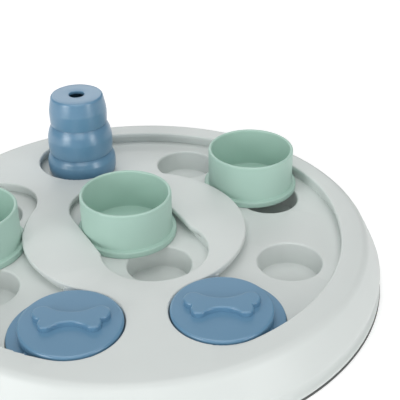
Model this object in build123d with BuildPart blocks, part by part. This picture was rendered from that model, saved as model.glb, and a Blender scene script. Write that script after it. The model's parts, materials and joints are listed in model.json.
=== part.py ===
from build123d import *
from math import asin, copysign, cos, degrees, radians, sin, sqrt
import os

os.makedirs("parts", exist_ok=True)

# Dog puzzle feeder board: two curved channels and a straight slot with treat wells in
# their floors, three cups that slide over the wells, two lids that tip up when their
# pedal is pressed, and a hollow cone that lifts off.
# Millimetres. The origin is the middle of the underside, +Z up, -Y towards the dog.

# board: the rim runs from the channels' guide walls to the board's edge, and the skirt's radii are insets
board_height = 22.3
rim_width = 15.5
cover_wall = 2.0
shoulder_inset = 7.7
shoulder_fillet = 1.6
skirt_swell_inset = 1.9
skirt_swell_height = 10.0
skirt_foot_inset = 0.6
skirt_foot_height = 6.0
tray_wall = 2.0
part_gap = 0.4

# foot and rubber ring
ring_height = 2.0
ring_chamfer = 0.5
ring_inset = 0.8
ring_seat_gap = 0.3
tongue_width = 3.0
tongue_height = 1.0
ledge_thickness = 2.2
ledge_fillet = 0.6
spigot_height = 3.0

# channels: the lips clear a cup's side and the guide walls clear its flange, each by a play
track_radius = 73.7
lip_play = 0.9
lip_fillet = 0.8
guide_play = 0.6
guide_wall = 1.6
channel_depth = 6.0
front_bridge_angle = -82.4
front_bridge_half = 4.646
back_bridge_angle = 139.9
back_bridge_half = 4.294

# straight slot in the island
slot_angle = -61.5
slot_lip_play = 1.6
slot_guide_play = 1.3
slot_wall_gap = 0.4

# treat wells
well_mouth_radius = 14.55
well_taper = 0.55
well_depth = 12.3
well_wall = 1.6
well_mouth_fillet = 1.0
well_floor_fillet = 2.0
middle_wells = (-16.6, 28.0, 72.0, 165.0, 211.8)
slot_well_offset = 4.2

# sliding cups
cup_radius = 20.9
cup_wall = 1.2
cup_height = 21.4
cup_floor = 2.7
cup_flange_width = 2.7
cup_flange_thickness = 3.0
cup_inner_fillet = 1.2
cup_flange_fillet = 0.8
cup_foot_fillet = 0.4
cup_neck_fillet = 1.0
cup_rim_fillet = 0.5
floor_gap = 0.1
right_cup_angle = 40.0
left_cup_angle = 185.7
centre_cup_shift = -6.3
centre_cup_side_play = 1.0

# tipping lids
lid_play = 0.5
lid_rise = 0.9
lid_plate = 2.4
lid_edge_fillet = 1.0
lid_wall = 1.8
pedal_reach = 5.0
pedal_thickness = 1.5
pedal_gap = 0.4
pedal_fillet = 0.6
pedal_lap = 0.3
pocket_lead = 1.5
pivot_offset = 11.0
pivot_rise = 2.1
pivot_radius = 1.2
bearing_clearance = 0.05
bearing_half = 2.6
tilt_angle = 28.0

# bone ornament: its two lobes at the back and its two narrower-set lobes at the front, as (x, y, radius),
# and how far back and front of the middle its waist reaches
bone_back_lobe = (11.6, 3.2, 4.2)
bone_front_lobe = (9.4, -3.3, 3.3)
bone_waist_back = 3.6
bone_waist_front = -2.8
bone_height = 2.4
bone_corner_fillet = 0.9
bone_fillet = 0.8

# cone
cone_wall = 1.6
cone_hole_radius = 3.9
cone_top_fillet = 2.4
cone_tiers = (
    # bottom radius, widest radius, height of the widest line, top radius, height of the tier
    (17.2, 17.9, 5.0, 16.3, 12.6),
    (16.6, 16.9, 5.2, 14.2, 15.8),
    (14.5, 14.9, 4.6, 12.6, 15.0),
)

# screws and bosses
screw_radius = 1.1
screw_head_radius = 2.2
screw_crown_radius = 1.8
screw_head_height = 1.8
screw_length = 6.5
screw_clearance = 0.05
screw_head_gap = 0.1
boss_radius = 2.6
boss_gap = 0.1
rim_screw_count = 6
rim_screw_start = 30.0
island_screw_reach = 36.5

# underside ribs
rib_wall = 1.6
rib_height = 6.0
rib_ring_radius = 46.0

# radii and half widths, from the cups outwards
cup_flange_radius = cup_radius + cup_flange_width
lip_half = cup_radius + lip_play
guide_half = cup_flange_radius + guide_play
guide_outer = guide_half + guide_wall
slot_lip_half = cup_radius + slot_lip_play
slot_guide_half = cup_flange_radius + slot_guide_play
slot_reach = track_radius - guide_outer - slot_guide_half - guide_wall - slot_wall_gap
slot_well_reach = slot_reach + slot_well_offset
lid_radius = lip_half - lid_play
pedal_radius = lid_radius + pedal_reach
board_radius = track_radius + guide_outer + rim_width
rim_screw_radius = track_radius + guide_outer + boss_gap + boss_radius
tray_wall_radius = rim_screw_radius + screw_head_radius + screw_head_gap + tray_wall
ring_inner_radius = tray_wall_radius + ring_seat_gap
ring_outer_radius = board_radius - ring_inset
skirt_foot_radius = board_radius - skirt_foot_inset
skirt_swell_radius = board_radius - skirt_swell_inset
shoulder_radius = board_radius - shoulder_inset

# heights
floor_z = board_height - channel_depth
cover_under_z = board_height - cover_wall
plate_under_z = floor_z - tray_wall
well_floor_z = floor_z - well_depth
ledge_z = ring_height + ledge_thickness
lid_top = board_height + lid_rise
pivot_height = floor_z + pivot_rise
spigot_radius = skirt_foot_radius - cover_wall - 2 * part_gap
moving_floor_z = floor_z + floor_gap
pedal_under_z = floor_z + 2 * floor_gap
bearing_radius = pivot_radius + bearing_clearance
pocket_start = pivot_offset - pocket_lead
pedal_start = pocket_start - pedal_lap
tongue_middle = (ring_inner_radius + ring_outer_radius) / 2
pedal_drop = (pedal_radius - pivot_offset) * sin(radians(tilt_angle))
pedal_depth = (pivot_height - pedal_under_z) * cos(radians(tilt_angle))
pocket_floor_z = pivot_height - pedal_drop - pedal_depth - pedal_gap


def polar(radius, angle):
    return (radius * cos(radians(angle)), radius * sin(radians(angle)))


def is_ring(edge, radius, height):
    """True for a circular edge of this radius that lies at this height."""
    return abs(edge.radius - radius) < 0.01 and abs(edge.center().Z - height) < 0.01


def beyond(point, direction, distance):
    """The point that lies `distance` from `point` in the compass direction `direction`."""
    step = polar(distance, direction)
    return (point[0] + step[0], point[1] + step[1])


def across(ring_radius):
    """Distance from a lid's centre line to a circle about the board's axis, measured along the pivot."""
    return abs(sqrt(ring_radius**2 - pivot_offset**2) - track_radius)


def end_angle(bridge_half):
    """Angle from the middle of a bridge to the end of a channel beside it."""
    return degrees(asin((guide_outer + bridge_half) / track_radius))


right_channel_start = front_bridge_angle + end_angle(front_bridge_half)
right_channel_end = back_bridge_angle - end_angle(back_bridge_half)
left_channel_start = back_bridge_angle + end_angle(back_bridge_half)
left_channel_end = 360 + front_bridge_angle - end_angle(front_bridge_half)
right_wells = (right_channel_start, *middle_wells[:3], right_channel_end)
left_wells = (*middle_wells[3:], left_channel_end)
rib_angles = [(a + b) / 2 for wells in (right_wells, left_wells) for a, b in zip(wells, wells[1:])]

right_track = CenterArc((0, 0), track_radius, right_channel_start, right_channel_end - right_channel_start)
left_track = CenterArc((0, 0), track_radius, left_channel_start, left_channel_end - left_channel_start)
slot_wells = [polar(side * slot_well_reach, slot_angle) for side in (-1, 1)]
well_centres = [polar(track_radius, angle) for angle in right_wells + left_wells] + slot_wells

# Each lid: the angle of its centre on the track, the direction in which its pedal points, its track.
right_lid_place = (right_channel_start, right_channel_start + 90, right_track)
left_lid_place = (left_channel_end, left_channel_end - 90, left_track)
lid_places = (right_lid_place, left_lid_place)

rim_screws = [
    polar(rim_screw_radius, rim_screw_start + 360 / rim_screw_count * i) for i in range(rim_screw_count)
]
bridge_screws = [polar(track_radius, angle) for angle in (front_bridge_angle, back_bridge_angle)]
island_screws = [polar(island_screw_reach, slot_angle + side) for side in (-90, 90)]
screw_places = rim_screws + bridge_screws + island_screws


def channel_outlines(half_width, slot_half_width, mode=Mode.ADD):
    """The three channels as areas of the open sketch, each with round ends."""
    SlotArc(right_track, 2 * half_width, mode=mode)
    SlotArc(left_track, 2 * half_width, mode=mode)
    SlotCenterToCenter(2 * slot_reach, 2 * slot_half_width, rotation=slot_angle, mode=mode)


def pedal_area(place, radius, half_width, start):
    """The part of a channel that lies in front of a lid's pivot, within `radius` of the lid's centre."""
    angle, direction, track = place
    centre = polar(track_radius, angle)
    with Locations(centre):
        Circle(radius)
    SlotArc(track, 2 * half_width, mode=Mode.INTERSECT)
    with Locations(beyond(centre, direction, start)):
        Rectangle(
            radius,
            2 * radius,
            rotation=direction,
            align=(Align.MIN, Align.CENTER),
            mode=Mode.INTERSECT,
        )


def bearing_area(place, half_width):
    """The ground plan of a lid's two bearing blocks, which end at this half width of the channel."""
    angle, direction, track = place
    pivot_middle = beyond(polar(track_radius, angle), direction, pivot_offset)
    for side in (1, -1):
        inner = across(track_radius + side * lip_half)
        length = across(track_radius + side * guide_outer) - inner
        with Locations(beyond(pivot_middle, angle, side * (inner + length / 2))):
            Rectangle(length, 2 * bearing_half, rotation=angle)
    SlotArc(track, 2 * half_width, mode=Mode.INTERSECT)


def pivot_rods(place, radius, near, half_width, clearance, mode=Mode.ADD):
    """Two round rods on a lid's pivot line, from `near` to `clearance` short of the channel's half width."""
    angle, direction, track = place
    pivot_middle = beyond(polar(track_radius, angle), direction, pivot_offset)
    for side in (1, -1):
        root = beyond(pivot_middle, angle, side * near)
        outwards = (side * cos(radians(angle)), side * sin(radians(angle)), 0)
        length = across(track_radius + side * half_width) - clearance - near
        with Locations(Plane(origin=(*root, pivot_height), z_dir=outwards)):
            Cylinder(radius, length, align=(Align.CENTER, Align.CENTER, Align.MIN), mode=mode)


# ---------------------------------------------------------------- base tray
tray_section = (
    (0, plate_under_z),
    (tray_wall_radius - tray_wall, plate_under_z),
    (tray_wall_radius - tray_wall, ring_height),
    (board_radius, ring_height),
    (board_radius, ledge_z),
    (spigot_radius, ledge_z),
    (spigot_radius, ledge_z + spigot_height),
    (spigot_radius - tray_wall, ledge_z + spigot_height),
    (spigot_radius - tray_wall, ledge_z),
    (tray_wall_radius, ledge_z),
    (tray_wall_radius, floor_z),
    (0, floor_z),
)
rib_length = tray_wall_radius - tray_wall / 2 - rib_ring_radius

with BuildPart() as base_tray:
    with BuildSketch(Plane.XZ):
        with BuildLine():
            Polyline(*tray_section, close=True)
        make_face()
    revolve(axis=Axis.Z)
    rim_edges = base_tray.edges().filter_by(GeomType.CIRCLE).group_by(SortBy.RADIUS)[-1]
    fillet(rim_edges, ledge_fillet)

    # ribs under the floor
    with BuildSketch(Plane.XY.offset(plate_under_z - rib_height)):
        Circle(rib_ring_radius + rib_wall / 2)
        Circle(rib_ring_radius - rib_wall / 2, mode=Mode.SUBTRACT)
        for angle in rib_angles:
            with Locations(polar(rib_ring_radius + rib_length / 2, angle)):
                Rectangle(rib_length, rib_wall, rotation=angle)
    extrude(amount=rib_height)

    # guide walls that steer the flanges and carry the cover
    with BuildSketch(Plane.XY.offset(floor_z)):
        channel_outlines(guide_outer, slot_guide_half + guide_wall)
        channel_outlines(guide_half, slot_guide_half, mode=Mode.SUBTRACT)
    extrude(amount=cover_under_z - floor_z)

    # walls of the wells and of the pedal pockets under the floor
    with Locations(*[(x, y, floor_z - tray_wall / 2) for x, y in well_centres]):
        Cone(
            bottom_radius=well_mouth_radius - well_taper + well_wall,
            top_radius=well_mouth_radius + well_wall,
            height=well_depth + well_wall - tray_wall / 2,
            align=(Align.CENTER, Align.CENTER, Align.MAX),
        )
    for place in lid_places:
        with BuildSketch(Plane.XY.offset(pocket_floor_z - well_wall)):
            pedal_area(
                place,
                pedal_radius + pedal_gap + well_wall,
                lip_half + well_wall,
                pocket_start - well_wall,
            )
        extrude(amount=floor_z - pocket_floor_z)

    # the wells' hollows, with a soft mouth and a dished floor
    with Locations(*[(x, y, floor_z) for x, y in well_centres]):
        Cone(
            bottom_radius=well_mouth_radius - well_taper,
            top_radius=well_mouth_radius,
            height=well_depth,
            align=(Align.CENTER, Align.CENTER, Align.MAX),
            mode=Mode.SUBTRACT,
        )
    rings = base_tray.edges().filter_by(GeomType.CIRCLE)
    fillet(rings.filter_by(lambda ring: is_ring(ring, well_mouth_radius, floor_z)), well_mouth_fillet)
    rings = base_tray.edges().filter_by(GeomType.CIRCLE)
    fillet(
        rings.filter_by(lambda ring: is_ring(ring, well_mouth_radius - well_taper, well_floor_z)),
        well_floor_fillet,
    )

    # under each lid: the pedal's pocket and the lower bearings
    for place in lid_places:
        with BuildSketch(Plane.XY.offset(pocket_floor_z)):
            pedal_area(place, pedal_radius + pedal_gap, lip_half, pocket_start)
        extrude(amount=floor_z - pocket_floor_z, mode=Mode.SUBTRACT)
        with BuildSketch(Plane.XY.offset(floor_z)):
            bearing_area(place, guide_half + guide_wall / 2)
        extrude(amount=pivot_height - floor_z)
        pivot_rods(place, bearing_radius, pivot_offset, guide_half, 0, mode=Mode.SUBTRACT)

    with Locations(*[(x, y, floor_z) for x, y in screw_places]):
        Cylinder(
            screw_radius + screw_clearance,
            tray_wall,
            align=(Align.CENTER, Align.CENTER, Align.MAX),
            mode=Mode.SUBTRACT,
        )
    # groove for the rubber ring's tongue
    with BuildSketch(Plane.XY.offset(ring_height)):
        Circle(tongue_middle + tongue_width / 2)
        Circle(tongue_middle - tongue_width / 2, mode=Mode.SUBTRACT)
    extrude(amount=tongue_height, mode=Mode.SUBTRACT)

base_tray.part.label = "base_tray"
export_step(base_tray.part, "parts/base_tray.step")

# ---------------------------------------------------------------- top cover
with BuildPart() as top_cover:
    for inset, top in ((0, board_height), (cover_wall, cover_under_z)):
        with BuildSketch(Plane.XZ):
            with BuildLine():
                foot = (skirt_foot_radius - inset, skirt_foot_height)
                shoulder = (shoulder_radius - inset, board_height)
                ThreePointArc(foot, (skirt_swell_radius - inset, skirt_swell_height), shoulder)
                Polyline(shoulder, (0, board_height), (0, skirt_foot_height), foot)
            make_face()
            with Locations((0, top)):
                Rectangle(
                    2 * board_radius,
                    board_height,
                    align=(Align.CENTER, Align.MAX),
                    mode=Mode.INTERSECT,
                )
        revolve(axis=Axis.Z, mode=Mode.ADD if inset == 0 else Mode.SUBTRACT)
    with BuildSketch(Plane.XY.offset(cover_under_z)):
        channel_outlines(lip_half, slot_lip_half)
    extrude(amount=cover_wall, mode=Mode.SUBTRACT)
    top_face = top_cover.faces().sort_by(Axis.Z)[-1]
    fillet(top_face.outer_wire().edges(), shoulder_fillet)
    top_face = top_cover.faces().sort_by(Axis.Z)[-1]
    fillet([edge for wire in top_face.inner_wires() for edge in wire.edges()], lip_fillet)

    # screw bosses that stand on the tray, and the upper halves of the lids' bearings
    with BuildSketch(Plane.XY.offset(floor_z)):
        with Locations(*screw_places):
            Circle(boss_radius)
    extrude(amount=cover_under_z - floor_z)
    for place in lid_places:
        with BuildSketch(Plane.XY.offset(pivot_height)):
            bearing_area(place, guide_half - part_gap)
        extrude(amount=cover_under_z - pivot_height)
        pivot_rods(place, bearing_radius, pivot_offset, guide_half, 0, mode=Mode.SUBTRACT)
    with Locations(*[(x, y, floor_z) for x, y in screw_places]):
        Cylinder(
            screw_radius + screw_clearance,
            screw_length - tray_wall + part_gap,
            align=(Align.CENTER, Align.CENTER, Align.MIN),
            mode=Mode.SUBTRACT,
        )

top_cover.part.label = "top_cover"
export_step(top_cover.part, "parts/top_cover.step")

# ---------------------------------------------------------------- rubber ring
with BuildPart() as non_slip_ring:
    with BuildSketch():
        Circle(ring_outer_radius)
        Circle(ring_inner_radius, mode=Mode.SUBTRACT)
    extrude(amount=ring_height)
    chamfer(non_slip_ring.edges().group_by(Axis.Z)[0], ring_chamfer)
    with BuildSketch(Plane.XY.offset(ring_height)):
        Circle(tongue_middle + tongue_width / 2)
        Circle(tongue_middle - tongue_width / 2, mode=Mode.SUBTRACT)
    extrude(amount=tongue_height)

non_slip_ring.part.label = "non_slip_ring"
export_step(non_slip_ring.part, "parts/non_slip_ring.step")

# ---------------------------------------------------------------- screws
with BuildPart() as cover_screws:
    with Locations(*[(x, y, plate_under_z) for x, y in screw_places]):
        Cylinder(screw_radius, screw_length, align=(Align.CENTER, Align.CENTER, Align.MIN))
        Cone(
            bottom_radius=screw_crown_radius,
            top_radius=screw_head_radius,
            height=screw_head_height,
            align=(Align.CENTER, Align.CENTER, Align.MAX),
        )

cover_screws.part.label = "cover_screws"
export_step(cover_screws.part, "parts/cover_screws.step")


# ---------------------------------------------------------------- sliding cups
def make_cup(name, centre):
    """A round cup with a floor and a wide flange, standing on the channel's floor."""
    flange_z = moving_floor_z + cup_flange_thickness
    with BuildPart(Plane((*centre, moving_floor_z))) as cup:
        Cylinder(cup_flange_radius, cup_flange_thickness, align=(Align.CENTER, Align.CENTER, Align.MIN))
        Cylinder(cup_radius, cup_height, align=(Align.CENTER, Align.CENTER, Align.MIN))
        with Locations((0, 0, cup_floor)):
            Cylinder(
                cup_radius - cup_wall,
                cup_height - cup_floor,
                align=(Align.CENTER, Align.CENTER, Align.MIN),
                mode=Mode.SUBTRACT,
            )
        rings = cup.edges().filter_by(GeomType.CIRCLE)
        fillet(rings.filter_by(lambda ring: is_ring(ring, cup_flange_radius, flange_z)), cup_flange_fillet)
        fillet(
            rings.filter_by(lambda ring: is_ring(ring, cup_flange_radius, moving_floor_z)),
            cup_foot_fillet,
        )
        fillet(rings.filter_by(lambda ring: is_ring(ring, cup_radius, flange_z)), cup_neck_fillet)
        fillet(
            rings.filter_by(lambda ring: is_ring(ring, cup_radius - cup_wall, moving_floor_z + cup_floor)),
            cup_inner_fillet,
        )
        fillet(cup.edges().group_by(Axis.Z)[-1], cup_rim_fillet)
    cup.part.label = name
    export_step(cup.part, f"parts/{name}.step")


make_cup("centre_cup", beyond(polar(centre_cup_shift, slot_angle), slot_angle - 90, centre_cup_side_play))
make_cup("right_cup", polar(track_radius, right_cup_angle))
make_cup("left_cup", polar(track_radius, left_cup_angle))


# ---------------------------------------------------------------- tipping lids
def waist_circle(lobe, waist):
    """The arc from a lobe to its mirror image: (radius, y of its centre, point where it leaves the lobe)."""
    x, y, lobe_radius = lobe
    side = copysign(1, waist)
    inset = side * (waist - y)
    radius = (x**2 + inset**2 - lobe_radius**2) / (2 * (lobe_radius - inset))
    centre_y = waist + side * radius
    share = lobe_radius / (lobe_radius + radius)
    return radius, centre_y, (x * (1 - share), y + (centre_y - y) * share)


def bone_outline():
    """The bone from above: a body through the lobes' centres, two waist arcs cut out of it, four lobes."""
    arcs = [waist_circle(bone_back_lobe, bone_waist_back), waist_circle(bone_front_lobe, bone_waist_front)]
    half = [arcs[0][2], bone_back_lobe[:2], bone_front_lobe[:2], arcs[1][2]]
    Polygon(*half, *[(-x, y) for x, y in reversed(half)], align=None)
    for radius, centre_y, tangent in arcs:
        with Locations((0, centre_y)):
            Circle(radius, mode=Mode.SUBTRACT)
    for x, y, radius in (bone_back_lobe, bone_front_lobe):
        with Locations((x, y), (-x, y)):
            Circle(radius)


def make_lid(name, place):
    """A round cap with a raised bone, and a pedal on its channel side that tips it about its pivot."""
    angle, direction, track = place
    centre = polar(track_radius, angle)
    plate_z = lid_top - lid_plate
    with BuildPart() as lid:
        with BuildSketch(Plane.XY.offset(plate_z)):
            with Locations(centre):
                Circle(lid_radius)
        extrude(amount=lid_plate)
        fillet(lid.edges().group_by(Axis.Z)[-1], lid_edge_fillet)

        # pedal, and the wall all round the cap, which stands on the channel's floor
        with BuildSketch(Plane.XY.offset(pedal_under_z)):
            pedal_area(place, pedal_radius, lip_half - pedal_gap - floor_gap, pedal_start)
        extrude(amount=pedal_thickness)
        pedal_faces = lid.faces().filter_by(Axis.Z)
        pedal_top = pedal_faces.filter_by(
            lambda face: abs(face.center().Z - pedal_under_z - pedal_thickness) < 0.01
        )
        fillet(pedal_top.edges(), pedal_fillet)
        with BuildSketch(Plane.XY.offset(moving_floor_z)):
            with Locations(centre):
                Circle(lid_radius)
                Circle(lid_radius - lid_wall, mode=Mode.SUBTRACT)
        extrude(amount=plate_z - moving_floor_z)

        # pivots, one at each end of the wall
        wall_middle = lid_radius - lid_wall / 2
        pivot_root = sqrt(wall_middle**2 - pivot_offset**2)
        pivot_rods(place, pivot_radius, pivot_root, guide_half, part_gap)

        # raised bone
        with BuildSketch(Plane((*centre, lid_top))) as bone:
            bone_outline()
            notches = bone.vertices().sort_by(Axis.X)
            fillet([notches[0], notches[-1]], bone_corner_fillet)
        extrude(amount=bone_height)
        fillet(lid.edges().group_by(Axis.Z)[-1], bone_fillet)
    lid.part.label = name
    export_step(lid.part, f"parts/{name}.step")


make_lid("right_flip_lid", right_lid_place)
make_lid("left_flip_lid", left_lid_place)


# ---------------------------------------------------------------- cone
def cone_profile(inset):
    """Half section of the stacked tiers, `inset` inside the outer surface."""
    z = moving_floor_z
    corner = (0, z)
    for bottom, widest, widest_z, top, height in cone_tiers:
        low = (bottom - inset, z)
        high = (top - inset, z + height)
        Line(corner, low)
        ThreePointArc(low, (widest - inset, z + widest_z), high)
        z += height
        corner = high
    Polyline(corner, (0, z), (0, moving_floor_z))


cone_top_z = moving_floor_z + sum(tier[-1] for tier in cone_tiers)
cone_centre = polar(track_radius, right_channel_end)
cone_section = Plane(origin=(*cone_centre, 0), x_dir=(1, 0, 0), z_dir=(0, -1, 0))
cone_axis = Axis((*cone_centre, 0), (0, 0, 1))

with BuildPart() as treat_cone:
    with BuildSketch(cone_section):
        with BuildLine():
            cone_profile(0)
        make_face()
    revolve(axis=cone_axis)
    fillet(treat_cone.edges().group_by(Axis.Z)[-1], cone_top_fillet)
    with BuildSketch(cone_section):
        with BuildLine():
            cone_profile(cone_wall)
        make_face()
        Rectangle(2 * board_radius, 2 * (cone_top_z - cone_wall), mode=Mode.INTERSECT)
    revolve(axis=cone_axis, mode=Mode.SUBTRACT)
    with Locations(cone_centre):
        Cylinder(cone_hole_radius, 2 * cone_top_z, mode=Mode.SUBTRACT)

treat_cone.part.label = "treat_cone"
export_step(treat_cone.part, "parts/treat_cone.step")
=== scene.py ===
import json
from math import atan2, cos, degrees, hypot, pi, radians, sin

import bpy
from mathutils import Matrix, Vector

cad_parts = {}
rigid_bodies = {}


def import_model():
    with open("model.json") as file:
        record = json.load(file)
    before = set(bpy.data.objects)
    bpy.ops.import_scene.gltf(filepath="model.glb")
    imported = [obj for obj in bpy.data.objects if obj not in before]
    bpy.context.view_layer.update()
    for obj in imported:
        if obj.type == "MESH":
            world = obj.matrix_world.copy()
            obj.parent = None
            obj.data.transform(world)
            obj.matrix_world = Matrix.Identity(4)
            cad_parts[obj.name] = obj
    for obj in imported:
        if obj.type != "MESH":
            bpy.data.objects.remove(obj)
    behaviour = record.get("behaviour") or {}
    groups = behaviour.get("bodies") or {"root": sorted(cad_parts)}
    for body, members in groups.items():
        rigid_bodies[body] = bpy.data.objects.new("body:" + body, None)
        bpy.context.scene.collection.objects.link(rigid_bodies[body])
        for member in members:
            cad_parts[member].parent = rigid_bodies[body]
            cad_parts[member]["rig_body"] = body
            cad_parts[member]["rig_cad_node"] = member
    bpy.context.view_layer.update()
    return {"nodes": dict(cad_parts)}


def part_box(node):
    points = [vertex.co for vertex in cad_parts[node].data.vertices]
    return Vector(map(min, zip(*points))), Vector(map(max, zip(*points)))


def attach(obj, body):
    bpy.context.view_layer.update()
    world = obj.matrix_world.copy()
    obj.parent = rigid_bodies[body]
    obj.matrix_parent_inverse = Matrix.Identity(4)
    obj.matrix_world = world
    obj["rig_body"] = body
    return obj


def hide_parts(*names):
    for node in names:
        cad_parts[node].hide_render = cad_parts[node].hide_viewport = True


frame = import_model()

# Outlines, widths and places on the board are in millimetres, with the board's axis on the Z axis.
# Directions in the plan are in degrees, anticlockwise from +X. What Blender's tools are given, the
# lights and the camera are in metres.
MILLIMETRE = 0.001
PER_METRE = 1000
BOARD_MIDDLE = (0, 0, 0)
UP = (0, 0, 1)

# ---------------------------------------------------------------- finishes
GREY = (0.66, 0.70, 0.685)
MINT = (0.42, 0.61, 0.53)
BLUE = (0.12, 0.262, 0.403)
RUBBER = (0.09, 0.095, 0.092)
ZINC = (0.55, 0.56, 0.57)

GRAIN_SIZE = 0.45 * MILLIMETRE
GRAIN_DEPTH = GRAIN_SIZE / 10
CLOUD_SIZE = 45 * MILLIMETRE
CLOUD_DEPTH = 0.02
POLISH_SIZE = 30 * MILLIMETRE
POLISH_CHANGE = 0.015
NOISE_RANGE = (0.3, 0.7)


def blank_material(name):
    """A material that has only its shader, and that shader."""
    material = bpy.data.materials.new(name)
    material.use_nodes = True
    return material, material.node_tree.nodes["Principled BSDF"]


def noise(tree, place, size):
    """Noise whose blobs are about `size` metres across."""
    texture = tree.nodes.new("ShaderNodeTexNoise")
    texture.inputs["Scale"].default_value = 1 / size
    tree.links.new(place, texture.inputs["Vector"])
    return texture.outputs["Fac"]


def spread(tree, value, low, high):
    """Maps a noise, which mostly stays within NOISE_RANGE, onto low to high."""
    ramp = tree.nodes.new("ShaderNodeMapRange")
    sockets = ("From Min", "From Max", "To Min", "To Max")
    for socket, number in zip(sockets, (*NOISE_RANGE, low, high)):
        ramp.inputs[socket].default_value = number
    tree.links.new(value, ramp.inputs["Value"])
    return ramp.outputs["Result"]


def tinted(tree, colour, factor):
    """The colour, made lighter or darker by a factor that varies over the surface."""
    scaled = tree.nodes.new("ShaderNodeVectorMath")
    scaled.operation = "SCALE"
    scaled.inputs[0].default_value = colour
    tree.links.new(factor, scaled.inputs["Scale"])
    return scaled.outputs["Vector"]


def grained_finish(name, colour, roughness=0.42, grain=0.08, gloss=1.5, metallic=0.0):
    """A moulded or plated surface: a fine grain, faint cloudiness, and polish that varies a little."""
    material, shader = blank_material(name)
    tree = material.node_tree
    place = tree.nodes.new("ShaderNodeTexCoord").outputs["Object"]
    cloud = spread(tree, noise(tree, place, CLOUD_SIZE), 1 - CLOUD_DEPTH, 1 + CLOUD_DEPTH)
    tree.links.new(tinted(tree, colour, cloud), shader.inputs["Base Color"])
    patches = noise(tree, place, POLISH_SIZE)
    polish = spread(tree, patches, roughness - POLISH_CHANGE, roughness + POLISH_CHANGE)
    tree.links.new(polish, shader.inputs["Roughness"])
    bump = tree.nodes.new("ShaderNodeBump")
    bump.inputs["Strength"].default_value = grain
    bump.inputs["Distance"].default_value = GRAIN_DEPTH
    tree.links.new(noise(tree, place, GRAIN_SIZE), bump.inputs["Height"])
    tree.links.new(bump.outputs["Normal"], shader.inputs["Normal"])
    shader.inputs["IOR"].default_value = gloss
    shader.inputs["Metallic"].default_value = metallic
    return material


satin_grey = grained_finish("satin_grey", GREY)
satin_mint = grained_finish("satin_mint", MINT, roughness=0.38)
glossy_blue = grained_finish("glossy_blue", BLUE, roughness=0.3, gloss=1.7)
matt_rubber = grained_finish("matt_rubber", RUBBER, roughness=0.75, grain=0.4)
zinc_steel = grained_finish("zinc_steel", ZINC, roughness=0.35, metallic=1.0)

NODE_FINISHES = {
    "base_tray": satin_grey,
    "top_cover": satin_grey,
    "non_slip_ring": matt_rubber,
    "cover_screws": zinc_steel,
    "centre_cup": satin_mint,
    "right_cup": satin_mint,
    "left_cup": satin_mint,
    "right_flip_lid": glossy_blue,
    "left_flip_lid": glossy_blue,
    "treat_cone": glossy_blue,
}
for node, finish in NODE_FINISHES.items():
    for slot in frame["nodes"][node].material_slots:
        slot.material = finish

# ---------------------------------------------------------------- modelling helpers
TURN_STEPS = 144
CORNER_STEPS = 4
# edges up to this many degrees look rounded, on turned pieces and on reworked solids
TURNED_CREASE = 38
REWORKED_CREASE = 30
# points nearer than this are merged
MERGE_DISTANCE = 0.002
# how far off a point may be that is looked for: an outline's own corner, and any other place
CORNER_SLACK = 0.01
SLACK = 0.06


def select_only(piece):
    """Makes a piece the only selected object, and the active one."""
    bpy.ops.object.select_all(action="DESELECT")
    piece.select_set(True)
    bpy.context.view_layer.objects.active = piece


def edit(piece, parts="VERT"):
    """Opens a piece in edit mode with nothing selected."""
    if bpy.context.mode != "OBJECT":
        bpy.ops.object.mode_set(mode="OBJECT")
    select_only(piece)
    bpy.ops.object.mode_set(mode="EDIT")
    bpy.ops.mesh.select_mode(type=parts)
    bpy.ops.mesh.select_all(action="DESELECT")


def pick_points(piece, wanted):
    """Selects the points whose place passes the test."""
    edit(piece, "VERT")
    bpy.ops.object.mode_set(mode="OBJECT")
    for point in piece.data.vertices:
        point.select = wanted(*(point.co * PER_METRE))
    bpy.ops.object.mode_set(mode="EDIT")


def pick_faces(piece, wanted):
    """Selects the faces all of whose corners pass the test."""
    edit(piece, "FACE")
    bpy.ops.object.mode_set(mode="OBJECT")
    passes = [wanted(*(point.co * PER_METRE)) for point in piece.data.vertices]
    for face in piece.data.polygons:
        face.select = all(passes[corner] for corner in face.vertices)
    bpy.ops.object.mode_set(mode="EDIT")


def delete_faces(piece, wanted):
    """Deletes the faces all of whose corners pass the test."""
    pick_faces(piece, wanted)
    bpy.ops.mesh.delete(type="FACE")


def lift(height):
    """Moves what is selected upwards."""
    bpy.ops.transform.translate(value=(0, 0, height * MILLIMETRE))


def widen(scale, middle=BOARD_MIDDLE):
    """Scales what is selected in the plan, about a middle in metres."""
    bpy.ops.transform.resize(value=(scale, scale, 1), center_override=middle)


def extrude(move):
    """Extrudes what is selected by a move in metres."""
    bpy.ops.mesh.extrude_region_move(TRANSFORM_OT_translate={"value": move})


def merge_points():
    """Selects the whole mesh and merges the points that lie on each other."""
    bpy.ops.mesh.select_all(action="SELECT")
    bpy.ops.mesh.remove_doubles(threshold=MERGE_DISTANCE * MILLIMETRE)


def close_piece(piece, crease):
    """Leaves edit mode with merged points, outward faces and edges smooth up to `crease` degrees."""
    merge_points()
    bpy.ops.mesh.normals_make_consistent(inside=False)
    bpy.ops.object.mode_set(mode="OBJECT")
    bpy.ops.object.shade_smooth_by_angle(angle=radians(crease))


def drawn_line(name, points):
    """A line through the points, extruded from a plane that is first merged to one point."""
    bpy.ops.object.select_all(action="DESELECT")
    bpy.ops.mesh.primitive_plane_add(size=MILLIMETRE)
    line = bpy.context.object
    line.name = name
    bpy.ops.object.mode_set(mode="EDIT")
    bpy.ops.mesh.select_all(action="SELECT")
    bpy.ops.mesh.merge(type="CENTER")
    bpy.ops.transform.translate(value=Vector(points[0]) * MILLIMETRE)
    pen = Vector(points[0]) * MILLIMETRE
    for point in points[1:]:
        move = Vector(point) * MILLIMETRE - pen
        pen += move
        extrude(move)
    return line


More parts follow.
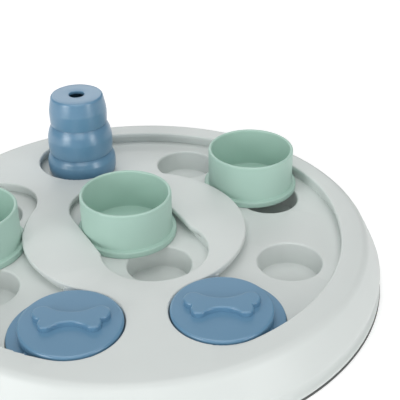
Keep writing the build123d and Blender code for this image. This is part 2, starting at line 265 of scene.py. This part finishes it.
def turned_piece(name, axis, outline):
    """A shape turned about an upright axis. Each point of the outline is (radius, height, corner),
    and a corner above 0 is cut that far along both sides and rounded."""
    axis_x, axis_y = axis
    piece = drawn_line(name, [(axis_x + radius, axis_y, height) for radius, height, _ in outline])
    for radius, height, corner in outline:
        if corner:
            pick_points(piece, lambda x, y, z: hypot(x - axis_x - radius, z - height) < CORNER_SLACK)
            bpy.ops.mesh.bevel(offset=corner * MILLIMETRE, segments=CORNER_STEPS, affect="VERTICES")
    bpy.ops.mesh.select_all(action="SELECT")
    middle = (axis_x * MILLIMETRE, axis_y * MILLIMETRE, 0)
    bpy.ops.mesh.spin(steps=TURN_STEPS, angle=2 * pi, center=middle, axis=UP)
    close_piece(piece, TURNED_CREASE)
    return piece


def duplicated(source, name):
    """A copy of an object with its own mesh."""
    select_only(source)
    bpy.ops.object.duplicate()
    copy = bpy.context.object
    copy.name = name
    return copy


def reworked_node(node, name):
    """A copy of a CAD node, with its loose triangles merged, to be shaped further."""
    piece = duplicated(frame["nodes"][node], name)
    bpy.ops.object.parent_clear(type="CLEAR_KEEP_TRANSFORM")
    del piece["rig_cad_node"], piece["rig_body"]
    edit(piece)
    merge_points()
    bpy.ops.mesh.customdata_custom_splitnormals_clear()
    return piece


def dress(piece, node, body):
    """Gives a new piece its finish and body, and lets it stand for its CAD node."""
    finish = NODE_FINISHES[node]
    piece.data.materials.clear()
    piece.data.materials.append(finish)
    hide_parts(node)
    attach(piece, body)


# ---------------------------------------------------------------- cups and cone
# what the cups and the cone stand on, and the cups' other heights and radii
CHANNEL_FLOOR = 16.4
FLANGE_RADIUS = 23.3
FLANGE_TOP = 19.4
CUP_RADIUS = 21.3
CUP_TOP = 37.8
CUP_FLOOR = 18.35
# (radius, height, corner) from the middle of the foot, round the flange, up the wall and back
# along the floor
CUP_OUTLINE = (
    (0, CHANNEL_FLOOR, 0),
    (FLANGE_RADIUS, CHANNEL_FLOOR, 0.4),
    (FLANGE_RADIUS, FLANGE_TOP, 0.6),
    (CUP_RADIUS, FLANGE_TOP, 0.4),
    (CUP_RADIUS, CUP_TOP, 0.75),
    (19.7, CUP_TOP, 0.75),
    (19.4, CUP_FLOOR, 0.5),
    (0, CUP_FLOOR, 0),
)
# the joints between the cone's three tiers, its top and the hole in it
LOWER_JOINT = 29.0
UPPER_JOINT = 44.8
CONE_TOP = 59.8
HOLE_RADIUS = 3.9
HOLE_BOTTOM = 58.2
CONE_SHIFT = 0.4
# (radius, height, corner) from the bottom rim up the three tiers, then down the hole and the hollow
CONE_OUTLINE = (
    (16.0, CHANNEL_FLOOR, 0),
    (17.0, CHANNEL_FLOOR, 0.8),
    (18.1, 21.6, 3.5),
    (17.5, 24.9, 2.0),
    (16.5, 27.6, 1.4),
    (15.4, LOWER_JOINT, 0),
    (16.3, LOWER_JOINT, 0.35),
    (16.95, 33.8, 3.5),
    (16.5, 38.2, 2.6),
    (15.4, 42.0, 1.8),
    (13.8, UPPER_JOINT, 0),
    (14.5, UPPER_JOINT, 0.35),
    (14.85, 49.0, 3.5),
    (14.6, 52.4, 2.4),
    (13.95, 56.0, 2.2),
    (13.1, CONE_TOP, 0.9),
    (HOLE_RADIUS, CONE_TOP, 0.4),
    (HOLE_RADIUS, HOLE_BOTTOM, 0.3),
    (11.9, HOLE_BOTTOM, 1.0),
    (13.2, 50.0, 3.0),
    (12.6, 43.4, 1.0),
    (14.2, 41.6, 1.0),
    (15.2, 34.5, 3.0),
    (14.2, 27.6, 1.0),
    (15.8, 26.0, 1.0),
    (16.4, 21.0, 2.0),
    (15.5, CHANNEL_FLOOR, 0.3),
    (16.0, CHANNEL_FLOOR, 0),
)


def node_axis(node):
    """The middle of a node's box, seen from above."""
    low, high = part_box(node)
    return (low[0] + high[0]) * PER_METRE / 2, (low[1] + high[1]) * PER_METRE / 2


def make_cups():
    """Three alike cups: the centre one is turned, and the others are moved copies."""
    first_x, first_y = node_axis("centre_cup")
    first = turned_piece("mint_cup_centre", (first_x, first_y), CUP_OUTLINE)
    for node, name in (("right_cup", "mint_cup_right"), ("left_cup", "mint_cup_left")):
        axis_x, axis_y = node_axis(node)
        cup = duplicated(first, name)
        edit(cup)
        bpy.ops.mesh.select_all(action="SELECT")
        shift = ((axis_x - first_x) * MILLIMETRE, (axis_y - first_y) * MILLIMETRE, 0)
        bpy.ops.transform.translate(value=shift)
        bpy.ops.object.mode_set(mode="OBJECT")
        dress(cup, node, node)
    dress(first, "centre_cup", "centre_cup")


def make_cone():
    """The stacked cone, which stands a little to the right of its seat's middle."""
    axis_x, axis_y = node_axis("treat_cone")
    cone = turned_piece("stacked_cone", (axis_x + CONE_SHIFT, axis_y), CONE_OUTLINE)
    dress(cone, "treat_cone", "cone")


# ---------------------------------------------------------------- places and rings on the board
def polar(radius, angle):
    """The plan place at a radius and a direction."""
    return radius * cos(radians(angle)), radius * sin(radians(angle))


def direction_of(x, y):
    """The direction of a plan place, to a tenth of a degree."""
    return round(degrees(atan2(y, x)), 1)


def ring_test(radius, height):
    """A test for the points of one level ring about the board's axis."""
    return lambda x, y, z: abs(z - height) < SLACK and abs(hypot(x, y) - radius) < SLACK


def shift_ring(piece, old, new):
    """Moves a level ring about the board's axis from one (radius, height) to another."""
    pick_points(piece, ring_test(*old))
    widen(new[0] / old[0])
    lift(new[1] - old[1])


def flare_ring(outline):
    """Extrudes the selected ring, which lies at the outline's first (radius, height), along the rest."""
    for (radius, height), (next_radius, next_height) in zip(outline, outline[1:]):
        extrude((0, 0, (next_height - height) * MILLIMETRE))
        widen(next_radius / radius)


def bridge_rings(piece, first, second):
    """Joins two open level rings with a band of faces."""
    on_first, on_second = ring_test(*first), ring_test(*second)
    pick_points(piece, lambda x, y, z: on_first(x, y, z) or on_second(x, y, z))
    bpy.ops.mesh.bridge_edge_loops()


# ---------------------------------------------------------------- cover
# the solid's outer surface is what lies outside this radius, which is a margin more below
# SHOULDER_TOP and grows with the depth below SLOPE_TOP
SHELL_RADIUS = 106.3
SHOULDER_TOP = 21.0
SHELL_MARGIN = 1.0
SLOPE_TOP = 20.0
SLOPE_FLARE = 0.42
# the solid's top and bottom edges, as (radius, height), and where the bottom one is moved to
COVER_RIM = (106.38, 22.3)
COVER_FOOT = (114.4, 6.0)
COVER_TUCK = (113.0, 6.2)
# (radius, height) down the shoulder, the sloped skirt and its rolled lower edge
SKIRT_OUTLINE = (
    (104.4, 22.3),
    (105.3, 22.2),
    (106.1, 21.95),
    (106.85, 21.5),
    (107.45, 20.95),
    (107.95, 20.3),
    (108.35, 19.6),
    (109.7, 17.0),
    (110.7, 15.0),
    (111.7, 13.0),
    (112.7, 11.0),
    (113.5, 9.2),
    (113.95, 8.1),
    (114.05, 7.4),
    (113.9, 6.8),
    (113.5, 6.4),
)
# a lip's points are those above LIP_BOTTOM and within LIP_WIDTH of its edge
LIP_BOTTOM = 20.2
LIP_WIDTH = 0.9
# the slot's free end, where the lip opens out into a circle wider than the slot; the cuts are
# places along the slot, from its middle
SLOT_ANGLE = -61.5
SLOT_ALONG = Vector((*polar(1, SLOT_ANGLE), 0))
SLOT_ACROSS = Vector((*polar(1, SLOT_ANGLE + 90), 0))
SLOT_REACH = 21.0
SLOT_LIP_HALF = 22.5
KEYHOLE_RADIUS = 24.15
KEYHOLE_CUTS = (12.4, 14.0, 16.2, 18.6)
# the right channel's outer lip, which runs a little wide of its circle between two directions
RIGHT_LIP_RADIUS = 95.5
LIP_SWELL = 1.6
SWELL_START, SWELL_PEAK, SWELL_END = -2.0, 27.0, 78.0


def outer_shell(x, y, z):
    """True on the cover's outer surface, from the shoulder's top edge down to its foot."""
    edge = SHELL_RADIUS + SLOPE_FLARE * max(0.0, SLOPE_TOP - z)
    if z <= SHOULDER_TOP:
        edge += SHELL_MARGIN
    return hypot(x, y) > edge


def on_slot_lip(x, y, z):
    """True on the slot's lip, where it runs straight and round its free end."""
    place = Vector((x, y, 0))
    out = abs(place.dot(SLOT_ACROSS))
    if place.dot(SLOT_ALONG) > SLOT_REACH:
        out = (place - SLOT_ALONG * SLOT_REACH).length
    return z > LIP_BOTTOM and SLOT_LIP_HALF - SLACK < out < SLOT_LIP_HALF + LIP_WIDTH


def lip_at_cut(cut, side):
    """A test for the slot lip's points at one cut across it, on one side."""

    def passes(x, y, z):
        place = Vector((x, y, 0))
        at_cut = abs(place.dot(SLOT_ALONG) - cut) < SLACK
        return at_cut and place.dot(SLOT_ACROSS) * side > 0 and on_slot_lip(x, y, z)

    return passes


def round_slot_lip(x, y, z):
    """True on the slot's lip round its free end."""
    return Vector((x, y, 0)).dot(SLOT_ALONG) > SLOT_REACH + SLACK and on_slot_lip(x, y, z)


def open_keyhole(cover):
    """Cuts the lip across where the round end begins, and moves it out onto the wider circle."""
    for cut in KEYHOLE_CUTS:
        edit(cover, "FACE")
        bpy.ops.mesh.select_all(action="SELECT")
        bpy.ops.mesh.bisect(plane_co=SLOT_ALONG * cut * MILLIMETRE, plane_no=SLOT_ALONG)
    for cut in (*KEYHOLE_CUTS, SLOT_REACH):
        outward = (KEYHOLE_RADIUS**2 - (SLOT_REACH - cut) ** 2) ** 0.5 - SLOT_LIP_HALF
        for side in (1, -1):
            pick_points(cover, lip_at_cut(cut, side))
            bpy.ops.transform.translate(value=SLOT_ACROSS * side * outward * MILLIMETRE)
    pick_points(cover, round_slot_lip)
    widen(KEYHOLE_RADIUS / SLOT_LIP_HALF, SLOT_ALONG * SLOT_REACH * MILLIMETRE)


def right_lip(x, y, z):
    """True on the outer lip of the right channel, where it swells."""
    on_ring = RIGHT_LIP_RADIUS - SLACK < hypot(x, y) < RIGHT_LIP_RADIUS + LIP_WIDTH
    return z > LIP_BOTTOM and on_ring and SWELL_START < direction_of(x, y) < SWELL_END


def swell_right_lip(cover):
    """Moves the lip outwards column by column, most at the peak and not at all at the ends."""
    bpy.ops.object.mode_set(mode="OBJECT")
    places = [point.co * PER_METRE for point in cover.data.vertices]
    columns = {direction_of(place.x, place.y) for place in places if right_lip(*place)}
    for column in sorted(columns):
        end = SWELL_END if column > SWELL_PEAK else SWELL_START
        nearness = (end - column) / (end - SWELL_PEAK)
        outward = LIP_SWELL * sin(nearness * pi / 2) ** 2
        pick_points(cover, lambda x, y, z: right_lip(x, y, z) and direction_of(x, y) == column)
        widen(1 + outward / RIGHT_LIP_RADIUS)


def make_cover():
    """The cover's solid with a new outer surface, a keyhole at the slot's end and a wider right lip."""
    cover = reworked_node("top_cover", "cover_shell")
    delete_faces(cover, outer_shell)
    shift_ring(cover, COVER_RIM, SKIRT_OUTLINE[0])
    flare_ring(SKIRT_OUTLINE)
    shift_ring(cover, COVER_FOOT, COVER_TUCK)
    bridge_rings(cover, SKIRT_OUTLINE[-1], COVER_TUCK)
    open_keyhole(cover)
    swell_right_lip(cover)
    close_piece(cover, REWORKED_CREASE)
    dress(cover, "top_cover", "board")


# ---------------------------------------------------------------- tray
# the wells: eight on the channels' circle, by their directions, and two in the slot
TRACK_RADIUS = 73.7
TRACK_WELLS = (-106.8, -58.0, -16.6, 28.0, 72.0, 115.8, 165.0, 211.8)
SLOT_WELL_REACH = 25.2
WELL_AXES = [polar(TRACK_RADIUS, angle) for angle in TRACK_WELLS]
WELL_AXES += [polar(reach, SLOT_ANGLE) for reach in (-SLOT_WELL_REACH, SLOT_WELL_REACH)]
# a little more than a well's radius at the foot of its wall
WELL_REACH = 14.25
# in the solid the wall ends at WALL_FOOT, above a dished floor that goes down to DISH_BOTTOM
WALL_FOOT = 5.91
DISH_BOTTOM = 4.0
WELL_FLOOR = 5.35
WELL_CORNER = 0.45
# the outer edges of the solid's ledge, as (radius, height), and where the lower one is moved to
LEDGE_TOP = (114.4, 4.2)
LEDGE_FOOT = (114.4, 2.0)
LEDGE_TUCK = (113.0, 2.0)
RIDGE_BOTTOM = -0.7
# (radius, height) from under the cover down the foot's cove and ridge to the rubber
FOOT_OUTLINE = (
    (111.9, 4.2),
    (111.9, 6.05),
    (112.75, 6.1),
    (112.7, 5.0),
    (112.75, 3.6),
    (112.95, 2.6),
    (113.35, 1.8),
    (113.85, 1.25),
    (114.3, 0.8),
    (114.5, 0.1),
    (114.45, -0.4),
    (114.2, -0.68),
    (113.0, RIDGE_BOTTOM),
)


def in_well(x, y):
    """True inside a well's circle."""
    return any(hypot(x - axis_x, y - axis_y) < WELL_REACH for axis_x, axis_y in WELL_AXES)


def dished_floor(x, y, z):
    """True on the wells' dished floors, up to the ring that their walls end in."""
    return DISH_BOTTOM - SLACK < z < WALL_FOOT + SLACK and in_well(x, y)


def sharpen_wells(tray):
    """Takes out the wells' dished floors, runs their walls down and gives them flat, crisp floors."""
    delete_faces(tray, dished_floor)
    pick_points(tray, lambda x, y, z: abs(z - WALL_FOOT) < SLACK and in_well(x, y))
    extrude((0, 0, (WELL_FLOOR - WALL_FOOT) * MILLIMETRE))
    bpy.ops.mesh.fill_holes(sides=0)
    bpy.ops.mesh.bevel(offset=WELL_CORNER * MILLIMETRE, segments=CORNER_STEPS, affect="EDGES")


def ledge_edge(x, y, z):
    """True on the outer face of the tray's ledge."""
    return hypot(x, y) > LEDGE_TOP[0] - SLACK and z < LEDGE_TOP[1] + SLACK


def make_tray():
    """The tray's solid with a cove and a ridge round its foot and flat floors in its wells."""
    tray = reworked_node("base_tray", "channel_tray")
    delete_faces(tray, ledge_edge)
    shift_ring(tray, LEDGE_FOOT, LEDGE_TUCK)
    shift_ring(tray, LEDGE_TOP, FOOT_OUTLINE[0])
    flare_ring(FOOT_OUTLINE)
    bridge_rings(tray, FOOT_OUTLINE[-1], LEDGE_TUCK)
    sharpen_wells(tray)
    close_piece(tray, REWORKED_CREASE)
    dress(tray, "base_tray", "board")


# ---------------------------------------------------------------- rubber foot
BOARD_AXIS = (0.0, 0.0)
FOOT_BOTTOM = -1.6
TONGUE_FOOT = 2.0
TONGUE_TOP = 3.0
# (radius, height, corner) from the underside out to the edge below the tray's ridge, up to the
# tongue in the tray's groove and down inside
RUBBER_OUTLINE = (
    (110.0, FOOT_BOTTOM, 0),
    (114.9, FOOT_BOTTOM, 0.3),
    (114.55, RIDGE_BOTTOM, 0.2),
    (112.9, RIDGE_BOTTOM, 0),
    (112.9, TONGUE_FOOT, 0),
    (112.0, TONGUE_FOOT, 0),
    (112.0, TONGUE_TOP, 0.2),
    (109.0, TONGUE_TOP, 0.2),
    (109.0, TONGUE_FOOT, 0),
    (106.8, TONGUE_FOOT, 0),
    (106.8, FOOT_BOTTOM, 0.5),
    (110.0, FOOT_BOTTOM, 0),
)


def make_foot():
    """The non-slip ring that the board stands on."""
    foot = turned_piece("rubber_foot", BOARD_AXIS, RUBBER_OUTLINE)
    dress(foot, "non_slip_ring", "board")


# ---------------------------------------------------------------- floor, light and camera
FLOOR_WIDTH = 8.0
FLOOR_COLOUR = (0.9, 0.9, 0.9, 1)
FLOOR_ROUGHNESS = 0.9
FLOOR_GLOW = 0.3
WHITE = (1, 1, 1, 1)
SURROUND_GLOW = 0.18
LIGHT_TARGET = (0.0, 0.0, 0.02)
# strips low on both sides in front, and panels in front, behind and above: each one's name, place,
# width, height and glow; its face is as bright as a white of that value
LIGHTS = (
    ("key_strip", (-1.16, -1.12, 0.4), 0.75, 0.78, 6.0),
    ("fill_strip", (1.31, -0.95, 0.42), 0.4, 0.8, 6.0),
    ("front_panel", (0.12, -1.42, 0.93), 1.0, 0.8, 2.2),
    ("back_panel", (-0.32, 1.51, 0.72), 1.6, 0.6, 1.9),
    ("top_panel", (0.0, 0.0, 1.5), 1.5, 1.5, 1.72),
)
# the camera's angles are in radians, and its lens and sensor in millimetres
CAMERA_PLACE = (0.03061, -0.34253, 0.24358)
CAMERA_PITCH = radians(31.2)
CAMERA_ROLL = -0.01144
CAMERA_LENS = 78.67
SENSOR_WIDTH = 36.0
NEAREST_SEEN = 0.01


def make_floor():
    """A plain pale floor, far wider than the view, at the foot's height."""
    bpy.ops.object.select_all(action="DESELECT")
    bpy.ops.mesh.primitive_plane_add(size=FLOOR_WIDTH)
    floor = bpy.context.object
    floor.name = "floor"
    edit(floor)
    bpy.ops.mesh.select_all(action="SELECT")
    lift(FOOT_BOTTOM)
    bpy.ops.object.mode_set(mode="OBJECT")
    material, shader = blank_material("pale_floor")
    shader.inputs["Base Color"].default_value = FLOOR_COLOUR
    shader.inputs["Roughness"].default_value = FLOOR_ROUGHNESS
    shader.inputs["Emission Color"].default_value = WHITE
    shader.inputs["Emission Strength"].default_value = FLOOR_GLOW
    floor.data.materials.append(material)


def softbox(name, place, width, height, glow):
    """A rectangular area light that faces the board and doesn't show itself."""
    lamp = bpy.data.lights.new(name, "AREA")
    lamp.shape = "RECTANGLE"
    lamp.size = width
    lamp.size_y = height
    lamp.energy = glow * pi * width * height
    light = bpy.data.objects.new(name, lamp)
    light.location = place
    aim = Vector(LIGHT_TARGET) - Vector(place)
    light.rotation_euler = aim.to_track_quat("-Z", "Y").to_euler()
    light.visible_camera = False
    bpy.context.scene.collection.objects.link(light)


def make_light():
    """A dim white surround, and the softboxes."""
    world = bpy.data.worlds.new("studio")
    world.use_nodes = True
    backdrop = world.node_tree.nodes["Background"]
    backdrop.inputs["Color"].default_value = WHITE
    backdrop.inputs["Strength"].default_value = SURROUND_GLOW
    bpy.context.scene.world = world
    for light in LIGHTS:
        softbox(*light)


def make_camera():
    """A long lens that looks down on the board from in front."""
    settings = bpy.data.cameras.new("camera")
    settings.sensor_width = SENSOR_WIDTH
    settings.lens = CAMERA_LENS
    settings.clip_start = NEAREST_SEEN
    camera = bpy.data.objects.new("camera", settings)
    pitch = Matrix.Rotation(pi / 2 - CAMERA_PITCH, 4, "X")
    roll = Matrix.Rotation(CAMERA_ROLL, 4, "Z")
    camera.matrix_world = Matrix.Translation(CAMERA_PLACE) @ pitch @ roll
    bpy.context.scene.collection.objects.link(camera)
    bpy.context.scene.camera = camera


make_cups()
make_cone()
make_cover()
make_tray()
make_foot()
make_floor()
make_light()
make_camera()
bpy.context.scene.view_settings.view_transform = "Standard"
